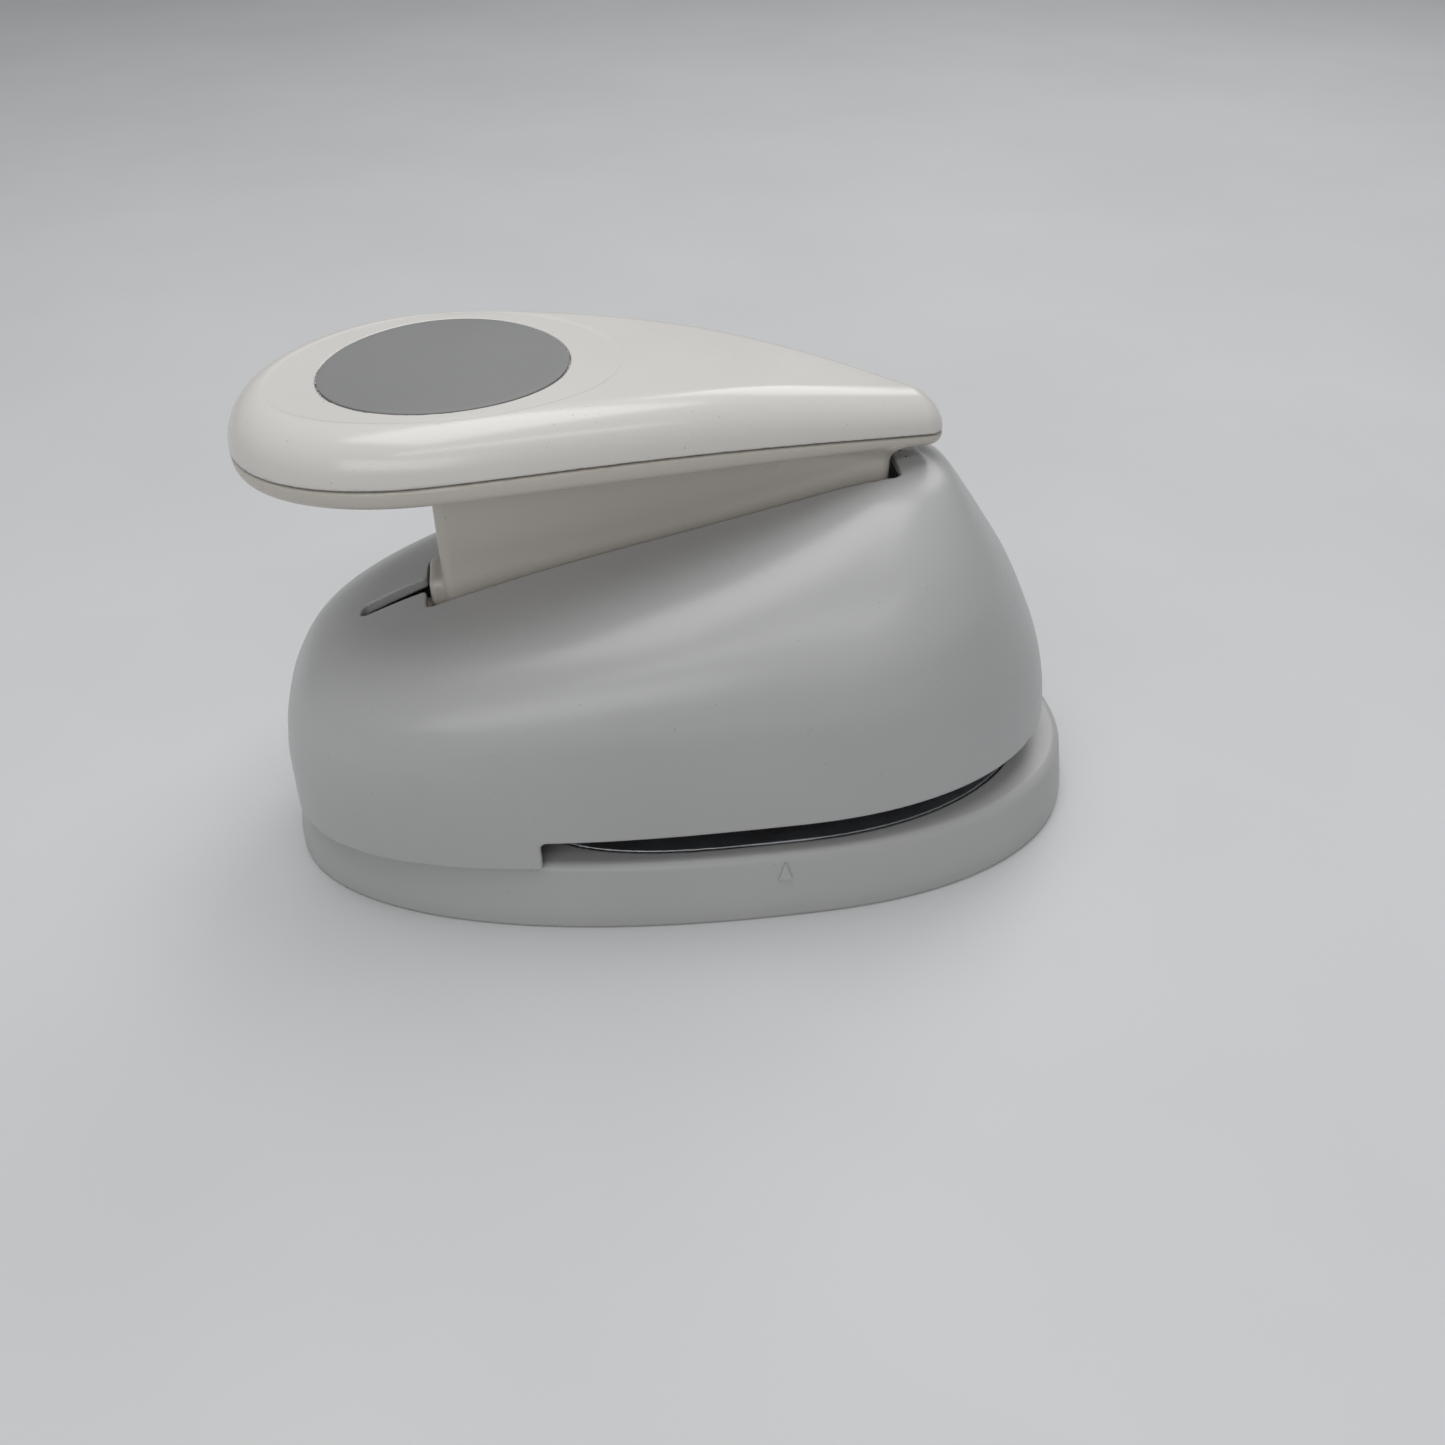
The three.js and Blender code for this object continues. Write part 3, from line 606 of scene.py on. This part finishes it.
DIE_BOSSES = [centre_mm(f"die_screw_{i}")[:2] for i in range(1, 5)]


def base_field(x, y, z):
    body = base_outside(x, y, z)
    inner = egg(x, y, BASE_LOW[0], BASE_HIGH[0], BASE_HIGH[1])
    under = round_cut(inner + 2.8 + 0.12 * z, z - LEDGE_BOTTOM, 1.2)
    room = np.maximum(round_cut(inner + 4.2, z - 11, 1), x + 39)
    body = round_cut(body, -np.minimum(under, room), 0.45)
    bosses = np.maximum(rods(x, y, HOUSING_BOSSES, BASE_BOSS), slab(z, 4.8, 12))
    body = round_join(body, bosses, 0.5)
    back_top = np.maximum(x - STEP_X - GAP, 13.8 - z)
    body = np.maximum(body, -back_top)
    pocket = np.maximum(plate_outline(x, y, DIE_LOW, DIE_HIGH, GAP), DIE_LOW[2] - GAP - z)
    body = round_cut(body, -pocket, 0.3)
    body = round_cut(body, -rod(x, y, (DIE_X, 0), LEDGE_HOLE), 0.4)
    holes = rods(x, y, HOUSING_BOSSES + DIE_BOSSES, SCREW_SHANK + GAP)
    return np.maximum(body, -holes)


# ---- Lever -------------------------------------------------------------------------------------
def lever_line(x):
    """Height of the parting line between the lever's two halves."""
    return 85.2 - 0.054 * (x - WIDEST_X) - 7.4 * ((x + 13) / 70) ** 2


def bezier(p0, p1, p2, p3, count):
    t = np.linspace(0, 1, count)[:, None]
    return (1 - t) ** 3 * p0 + 3 * t * (1 - t) ** 2 * p1 + 3 * t * t * (1 - t) * p2 + t ** 3 * p3


def lever_plan():
    """A teardrop: a round back end, a bezier flank and a small round nose."""
    flare = math.radians(26)
    turn = math.pi / 2 - flare
    nose = [(NOSE_X + NOSE_RADIUS * math.cos(a), NOSE_RADIUS * math.sin(a))
            for a in np.linspace(0, turn, 12)]
    touch = np.array(nose[-1])
    ahead = touch + 26 * np.array([-math.cos(flare), math.sin(flare)])
    flank = bezier(touch, ahead, np.array([LEVER_X + 21, LEVER_HALF]),
                   np.array([LEVER_X, LEVER_HALF]), 50)[1:]
    end = [(LEVER_X + LEVER_BACK * math.cos(a), LEVER_HALF * math.sin(a))
           for a in np.linspace(math.pi / 2, math.pi, 50)[1:]]
    half = np.vstack([nose, flank, end])
    return np.vstack([half, half[-2:0:-1] * (1, -1)])


LEVER_OUTLINE = Outline(lever_plan())
LEVER_SCREWS = [centre_mm(f"lever_screw_{i}")[:2] for i in range(1, 5)]


def cover_tall(x):
    return COVER_HEIGHT - 2.2 * smooth_step(x, 0, 52)


def frame_deep(x):
    return 3.7 - 1.3 * smooth_step(x, -10, 50)


def disc_edge(x, y):
    """Distance to the grey oval's outline."""
    return (np.hypot(x - DISC_X, y / DISC_SQUASH) - DISC_RADIUS) * (1 + DISC_SQUASH) / 2


def disc_ring(x, y):
    """Distance to the oval step that runs round the disc."""
    return (np.hypot((x - DISC_X) / 29, y / 22) - 1) * 24


def cover_outside(x, y, z):
    inset = -LEVER_OUTLINE(x, y)
    rise = z - lever_line(x) - HALF_SEAM
    tall = cover_tall(x)
    top = np.hypot(np.maximum(RIM_RADIUS - inset, 0) / RIM_RADIUS, np.maximum(rise, 0) / tall) - 1
    return top * (RIM_RADIUS + tall) / 2


def cover_field(x, y, z):
    outside = cover_outside(x, y, z)
    rise = z - lever_line(x) - HALF_SEAM
    step = 0.14 * (1 - smooth_step(disc_ring(x, y), -0.35, 0.35)) * (rise > 4)
    posts = np.maximum(rods(x, y, LEVER_SCREWS, 3.4), outside + 1.2)
    wall = np.abs(outside + 1.15) - 1.15 + step
    body = round_join(wall, posts, 0.5)
    body = np.maximum(body, -np.maximum(rods(x, y, LEVER_SCREWS, SCREW_SHANK + GAP), rise - 5))
    recess = np.maximum(disc_edge(x, y) - 0.2, COVER_HEIGHT - 0.6 - rise)
    body = round_cut(body, -recess, 0.3)
    return round_cut(body, -rise, 0.35)


def disc_mesh(name, bottom, top, rings=12, sides=180):
    """The thin grey oval, following the lever's crown between two heights over the seam."""
    angles = 2 * math.pi * np.arange(sides) / sides
    corner = 0.14
    turn = np.linspace(0, math.pi / 2, 4)
    profile = [(DISC_RADIUS * i / rings, top) for i in range(1, rings)]
    profile += [(DISC_RADIUS - corner + corner * math.sin(a), top - corner + corner * math.cos(a))
                for a in turn]
    profile += [(DISC_RADIUS, bottom), (DISC_RADIUS / 2, bottom)]
    points = []
    for radius, rise in profile:
        x = DISC_X + radius * np.cos(angles)
        y = DISC_SQUASH * radius * np.sin(angles)
        points += np.stack([x, y, lever_line(x) + HALF_SEAM + rise], 1).tolist()
    faces = [(k * sides + i, (k + 1) * sides + i, (k + 1) * sides + (i + 1) % sides,
              k * sides + (i + 1) % sides) for k in range(len(profile) - 1) for i in range(sides)]
    points += [[DISC_X, 0, lever_line(DISC_X) + HALF_SEAM + h] for h in (top, bottom)]
    centre = len(profile) * sides
    last = centre - sides
    faces += [(centre, i, (i + 1) % sides) for i in range(sides)]
    faces += [(centre + 1, last + (i + 1) % sides, last + i) for i in range(sides)]
    return add_mesh(name, points, faces)


def rib_plan():
    """The rib's side view, from the lever's underside down to the nose and the hinge hub."""
    def arc(x, z, radius, start, end, count):
        return [(x + radius * math.cos(a), z + radius * math.sin(a))
                for a in np.linspace(start * math.pi, end * math.pi, count)]
    points = [(RIB_BACK, 50.5), (2, 61.5)]
    points += arc(DIE_X, 52.4, 8.5, 1, 1.9, 30)
    points += arc(PIVOT_X, PIVOT_Z, 6, 1.3, 2.58, 30)
    points += [(RIB_FRONT, 69.5)]
    points += [(x, lever_line(x) - 1.6) for x in np.linspace(RIB_FRONT, RIB_BACK, 12)]
    return points


RIB_OUTLINE = Outline(rib_plan(), margin=8)


def frame_outside(x, y, z):
    inset = -LEVER_OUTLINE(x, y)
    drop = lever_line(x) - HALF_SEAM - z
    deep = frame_deep(x)
    edge = (np.maximum(3.0 - inset, 0) / 3.0) ** 2.6 + (np.maximum(drop, 0) / deep) ** 2.6
    return ((edge + 1e-9) ** (1 / 2.6) - 1) * deep


def lever_frame_field(x, y, z):
    outside = frame_outside(x, y, z)
    drop = lever_line(x) - HALF_SEAM - z
    room = np.maximum(np.maximum(outside + 2, x - 34), -4)
    posts = np.maximum(rods(x, y, LEVER_SCREWS, 4), outside)
    pan = np.minimum(np.maximum(outside, -room), posts)
    pan = round_cut(pan, -drop, 0.35)
    rib = round_cut(RIB_OUTLINE(x, z), np.abs(y) - RIB_HALF, 2.0)
    body = round_join(pan, rib, 3.4)
    body = np.maximum(body, -drop)
    web = brick(x, y, z, (-48, -1.5, 45.8), (RIB_BACK + 1, 1.5, 49.5), 0.3)
    foot = brick(x, y, z, (-50.5, -5, 45.8), (-45, 5, 48), 0.6)
    gusset = brick(x, y, z, (RIB_BACK - 2.6, -4.8, 45.8), (RIB_BACK + 1, 4.8, 57), 1.4)
    hook = round_join(round_join(web, foot, 0.8), gusset, 0.6)
    body = round_join(body, hook, 0.7)
    pocket = brick(x, y, z, (RIB_BACK + 2.4, -4.2, 30), (0, 4.2, 76), 0.8)
    body = round_cut(body, -pocket, 0.4)
    body = np.maximum(body, PIN_HOLE - np.hypot(x - PIVOT_X, z - PIVOT_Z))
    sink = np.maximum(rods(x, y, LEVER_SCREWS, SCREW_HEAD + GAP), frame_deep(x) - 1.8 - drop)
    body = round_cut(body, -sink, 0.25)
    return np.maximum(body, -rods(x, y, LEVER_SCREWS, SCREW_SHANK + GAP))


# ---- Making the moulded pieces -----------------------------------------------------------------
dress(moulded_piece("dome_housing", shell_field, DOME_LOW, DOME_HIGH, 0.5),
      "housing", "shell_grey", SHELL_GREY, "upper_shell")
dress(moulded_piece("base_housing", base_field, BASE_LOW, BASE_HIGH, 0.55),
      "housing", "base_grey", BASE_GREY, "base_shell")
dress(moulded_piece("lever_top", cover_field, COVER_LOW, COVER_HIGH, 0.42),
      "lever", "lever_ivory", IVORY, "lever_cover")
# The underside and rib take the darker ivory copy, which paints in the shade that falls under the lever.
dress(moulded_piece("lever_under", lever_frame_field, FRAME_LOW, FRAME_HIGH, 0.45),
      "lever", "lever_ivory", SHADED_IVORY, "lever_frame")
dress(disc_mesh("label_disc", COVER_HEIGHT - 0.5, COVER_HEIGHT - 0.1),
      "lever", "disc_grey", LABEL_GREY, "size_disc")


def pointer_mark(name, side, rows=8, proud=0.4, buried=0.6):
    """A small raised triangle that follows the base's wall, its point upwards."""
    points = []
    for depth in (-buried, proud):
        for row in range(rows + 1):
            z = MARK_BOTTOM + MARK_HEIGHT * row / rows
            for k in (-1, 1):
                x = DIE_X + k * MARK_HALF * (1 - 0.97 * row / rows)
                low, high = 20, 45
                for _ in range(30):
                    y = (low + high) / 2
                    low, high = (y, high) if base_outside(x, y, z) < depth else (low, y)
                points.append((x, side * y, z))
    layer = 2 * (rows + 1)
    faces = []
    for row in range(rows):
        a = 2 * row
        faces.append((layer + a, layer + a + 1, layer + a + 3, layer + a + 2))
        faces.append((a, a + 2, a + 3, a + 1))
        faces.append((a, layer + a, layer + a + 2, a + 2))
        faces.append((a + 1, a + 3, layer + a + 3, layer + a + 1))
    faces.append((0, 1, layer + 1, layer))
    end = 2 * rows
    faces.append((end, layer + end, layer + end + 1, end + 1))
    if side > 0:
        faces = [face[::-1] for face in faces]
    return add_mesh(name, points, faces, smooth=False)


for mark_name, side in (("near_mark", -1), ("far_mark", 1)):
    dress(pointer_mark(mark_name, side), "housing", "base_grey", BASE_GREY)


# ---- Plates, punch and pusher ------------------------------------------------------------------
def edged(outline, z, bottom, top, edge=0.25):
    return round_cut(outline, slab(z, bottom, top), edge)


def die_plate_field(x, y, z):
    body = edged(plate_outline(x, y, DIE_LOW, DIE_HIGH), z, DIE_LOW[2], DIE_HIGH[2])
    body = round_cut(body, -rod(x, y, (DIE_X, 0), PUNCH_RADIUS + GAP), 0.12)
    return np.maximum(body, -rods(x, y, DIE_BOSSES, SCREW_SHANK + GAP))


def spacer_field(x, y, z):
    outline = plate_outline(x, y, SPACER_LOW, (64, 33))
    outline = round_cut(outline, x + 24, 0.6)
    outline = round_cut(outline, -rod(x, y, (DIE_X, 0), 37.5), 0.6)
    body = edged(outline, z, SPACER_LOW[2], SPACER_HIGH[2], 0.3)
    return np.maximum(body, -rods(x, y, DIE_BOSSES, SCREW_SHANK + GAP))


def guide_plate_field(x, y, z):
    body = edged(plate_outline(x, y, GUIDE_LOW, GUIDE_HIGH), z, GUIDE_LOW[2], GUIDE_HIGH[2])
    body = round_cut(body, -rod(x, y, (DIE_X, 0), PUNCH_RADIUS + GAP), 0.3)
    holes = np.minimum(rods(x, y, GUIDE_BOSSES, SCREW_SHANK + GAP),
                       np.maximum(rods(x, y, DIE_BOSSES, SCREW_SHANK + GAP), z - GUIDE_HIGH[2] + 0.8))
    sinks = np.maximum(rods(x, y, GUIDE_BOSSES, SCREW_HEAD + GAP), z - GUIDE_LOW[2] - 1.9)
    feet = np.maximum(rods(x, y, POSTS, POST_RADIUS + GAP), GUIDE_HIGH[2] - 2 - z)
    return np.maximum(body, -np.minimum(np.minimum(holes, sinks), feet))


PUNCH_SCREWS = [centre_mm(f"punch_screw_{i}")[:2] for i in (1, 2, 3)]


def cutter_field(x, y, z):
    """A ground cup, open below, with a hollow-ground cutting edge."""
    middle = (DIE_X, 0)
    body = edged(rod(x, y, middle, PUNCH_RADIUS), z, CUTTER_LOW[2], CUTTER_HIGH[2], 0.15)
    bevel = rod(x, y, middle, PUNCH_RADIUS - 1.1 - 0.9 * (z - CUTTER_LOW[2]))
    inside = round_cut(rod(x, y, middle, PUNCH_RADIUS - CUP_WALL), z - 31.2, 1.2)
    body = np.maximum(body, -np.minimum(inside, np.maximum(bevel, z - CUTTER_LOW[2] - 3)))
    return np.maximum(body, -rods(x, y, PUNCH_SCREWS, SCREW_SHANK + GAP))


def pusher_field(x, y, z):
    low, high = PUSHER_LOW[2], PUSHER_HIGH[2]
    top = high - 2.8
    body = edged(rod(x, y, (DIE_X, 0), 30.8), z, low, top, 0.8)
    for post in POSTS:
        reach = np.array(post) - (DIE_X, 0)
        way = reach / np.linalg.norm(reach)
        side = np.abs((x - DIE_X) * way[1] - y * way[0]) - 4.5
        along = (x - DIE_X) * way[0] + y * way[1]
        arm = np.maximum(side, slab(along, 20, np.linalg.norm(reach)))
        body = round_join(body, edged(arm, z, top - 4, top, 0.5), 0.6)
    body = round_join(body, edged(rods(x, y, POSTS, 6), z, top - 4, top, 0.5), 0.5)
    body = round_join(body, edged(rod(x, y, (DIE_X, 0), 13), z, low, high, 0.9), 1.2)
    body = np.maximum(body, -rods(x, y, POSTS, 2.95))
    return np.maximum(body, -np.maximum(rods(x, y, PUNCH_SCREWS, SCREW_SHANK + GAP), z - top + 0.8))


def retainer_field(x, y, z):
    low, high = RETAINER_LOW, RETAINER_HIGH
    body = brick(x, y, z, low, (high[0], high[1], low[2] + 3), 0.8)
    posts = np.maximum(slab(np.abs(y), 7.7, 10.6), slab(x, PIVOT_X - 2.5, PIVOT_X + 2.5))
    posts = edged(posts, z, low[2] + 1, PIVOT_Z - PIN_HOLE, 0.4)
    posts = np.maximum(posts, PIN_HOLE - np.hypot(x - PIVOT_X, z - PIVOT_Z))
    body = round_join(body, posts, 0.8)
    return np.maximum(body, -rods(x, y, RETAINER_BOSSES, SCREW_SHANK + GAP))


for piece_name, field, node_name, step, body_name, slot_name, material in (
        ("die_ring", die_plate_field, "die_plate", 0.45, "housing", "zinc", ZINC),
        ("throat_block", spacer_field, "throat_spacer", 0.5, "housing", "mechanism_plastic", NYLON),
        ("guide_ring", guide_plate_field, "guide_plate", 0.55, "housing", "zinc", ZINC),
        ("cutting_cup", cutter_field, "punch_cutter", 0.5, "punch", "zinc", ZINC),
        ("press_pad", pusher_field, "pusher", 0.6, "punch", "mechanism_plastic", NYLON),
        ("pin_keeper", retainer_field, "pivot_retainer", 0.4, "housing", "mechanism_plastic", NYLON)):
    dress(moulded_piece(piece_name, field, *box_mm(node_name), step),
          body_name, slot_name, material, node_name)


# ---- Turned pieces, springs and screws ---------------------------------------------------------
def turned(name, profile, sides=48):
    """A piece turned about its own Z axis, from (radius, height) points that end on the axis."""
    angles = 2 * math.pi * np.arange(sides) / sides
    points = [(r * math.cos(a), r * math.sin(a), z) for r, z in profile[1:-1] for a in angles]
    rings = len(profile) - 2
    faces = []
    for ring in range(rings - 1):
        for i in range(sides):
            a, b = ring * sides + i, ring * sides + (i + 1) % sides
            faces.append((a, b, b + sides, a + sides))
    faces.append(tuple(range(sides))[::-1])
    faces.append(tuple((rings - 1) * sides + i for i in range(sides)))
    piece = add_mesh(name, points, faces)
    for face in piece.data.polygons:
        face.use_smooth = len(face.vertices) == 4
    return piece


def round_bar(radius, length, edge=0.4, steps=4):
    """Profile of a bar with rounded ends."""
    turn = np.linspace(0, math.pi / 2, steps + 1)
    lower = [(radius - edge + edge * math.sin(a), edge - edge * math.cos(a)) for a in turn]
    upper = [(r, length - z) for r, z in reversed(lower)]
    return [(0, 0)] + lower + upper + [(0, length)]


for i, post in enumerate(POSTS, 1):
    low, high = box_mm(f"guide_post_{i}")
    piece = turned(f"spring_post_{i}", round_bar(POST_RADIUS, high[2] - low[2]))
    piece.location = Vector((*post, low[2])) * MM
    dress(piece, "housing", "steel", STEEL, f"guide_post_{i}")

pin = turned("hinge_pin", round_bar(2.5, PIN_HIGH[1] - PIN_LOW[1]))
pin.rotation_euler = (-math.pi / 2, 0, 0)
pin.location = Vector((PIVOT_X, PIN_LOW[1], PIVOT_Z)) * MM
dress(pin, "housing", "steel", STEEL, "pivot_pin")


def tube(name, route, radius, sides=10):
    """A round wire along a route, with its ends closed."""
    route = np.asarray(route, float)
    ahead = unit(np.gradient(route, axis=0))
    points = []
    for place, way in zip(route, ahead):
        side = unit(np.cross(way, (0, 0, 1))[None])[0]
        up = np.cross(side, way)
        points += [place + radius * (math.cos(a) * side + math.sin(a) * up)
                   for a in 2 * math.pi * np.arange(sides) / sides]
    faces = [(k * sides + i, k * sides + (i + 1) % sides, (k + 1) * sides + (i + 1) % sides,
              (k + 1) * sides + i) for k in range(len(route) - 1) for i in range(sides)]
    faces.append(tuple(range(sides))[::-1])
    faces.append(tuple(len(points) - sides + i for i in range(sides)))
    return add_mesh(name, points, faces)


WIRE = 0.55
for i, post in enumerate(POSTS, 1):
    low, high = box_mm(f"return_spring_{i}")
    turns = 4.5
    t = np.linspace(0, 1, 200)
    middle = low[2] + WIRE
    lead = (smooth_step(t, 0.06, 0.94) * 0.35 + t * 0.65) * (high[2] - low[2] - 2 * WIRE)
    coil_radius = (high[0] - low[0]) / 2 - WIRE
    route = np.stack([post[0] + coil_radius * np.cos(2 * math.pi * turns * t),
                      post[1] + coil_radius * np.sin(2 * math.pi * turns * t), middle + lead], 1)
    spring = tube(f"coil_{i}", route, WIRE)
    dress(spring, "housing", "steel", STEEL, f"return_spring_{i}")
    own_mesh(spring)


def screw_field(length):
    """A pan-head screw with a cross recess; its bearing face is at zero and its tip above."""
    def field(x, y, z):
        across = np.hypot(x, y)
        dome = across ** 2 / 9.5 - SCREW_HEAD_HEIGHT - z
        head = round_cut(round_cut(across - SCREW_HEAD, dome, 0.4), z, 0.12)
        blade = np.minimum(np.maximum(np.abs(x) - 0.32, np.abs(y) - 1.45),
                           np.maximum(np.abs(y) - 0.32, np.abs(x) - 1.45))
        head = round_cut(head, -np.maximum(blade, z + 0.45), 0.08)
        pitch = 1.2
        wave = np.abs(((z / pitch - np.arctan2(y, x) / (2 * math.pi)) % 1) - 0.5) * 2
        thread = 1.08 + 0.3 * np.clip(1.4 * wave - 0.4, 0, 1) * smooth_step(length - z, 0.2, 2)
        tip = across - np.minimum(thread, 0.35 + 0.9 * (length - z))
        return np.minimum(head, np.maximum(np.maximum(tip * 0.8, z - length), -0.1 - z))
    return field


SCREW_MESHES = {}


def add_screw(name, piece_name, body):
    low, high = box_mm(name)
    length = round(float(high[2] - low[2]) - SCREW_HEAD_HEIGHT, 1)
    if length not in SCREW_MESHES:
        piece = moulded_piece(piece_name, screw_field(length), (-2.8, -2.8, -1.5), (2.8, 2.8, length), 0.16)
        SCREW_MESHES[length] = piece.data
    else:
        piece = bpy.data.objects.new(piece_name, SCREW_MESHES[length])
        scene.collection.objects.link(piece)
    x, y = centre_mm(name)[:2]
    piece.location = Vector((x, y, low[2] + SCREW_HEAD_HEIGHT)) * MM
    dress(piece, body, "steel", STEEL, name)


for kind, count, body_name in (("housing", 4, "housing"), ("die", 4, "housing"), ("guide", 2, "housing"),
                               ("retainer", 2, "housing"), ("punch", 3, "punch"), ("lever", 4, "lever")):
    for i in range(1, count + 1):
        add_screw(f"{kind}_screw_{i}", f"{kind}_fastener_{i}", body_name)

# ---- Floor -------------------------------------------------------------------------------------
floor_nodes = Nodes("pale_floor")
floor_nodes.shader.inputs["Roughness"].default_value = 0.7
floor_shade = floor_nodes.span(floor_nodes.noise(9, 3), 0.3, 0.7, 0, 1)
floor_nodes.link(floor_nodes.mix(floor_shade, (0.545, 0.55, 0.555), (0.575, 0.58, 0.585)),
                 floor_nodes.shader.inputs["Base Color"])
floor = add_mesh("floor", [(-3000, -3000, 0), (3000, -3000, 0), (3000, 3000, 0), (-3000, 3000, 0)],
                 [(0, 1, 2, 3)], smooth=False)
floor.data.materials.append(floor_nodes.material)
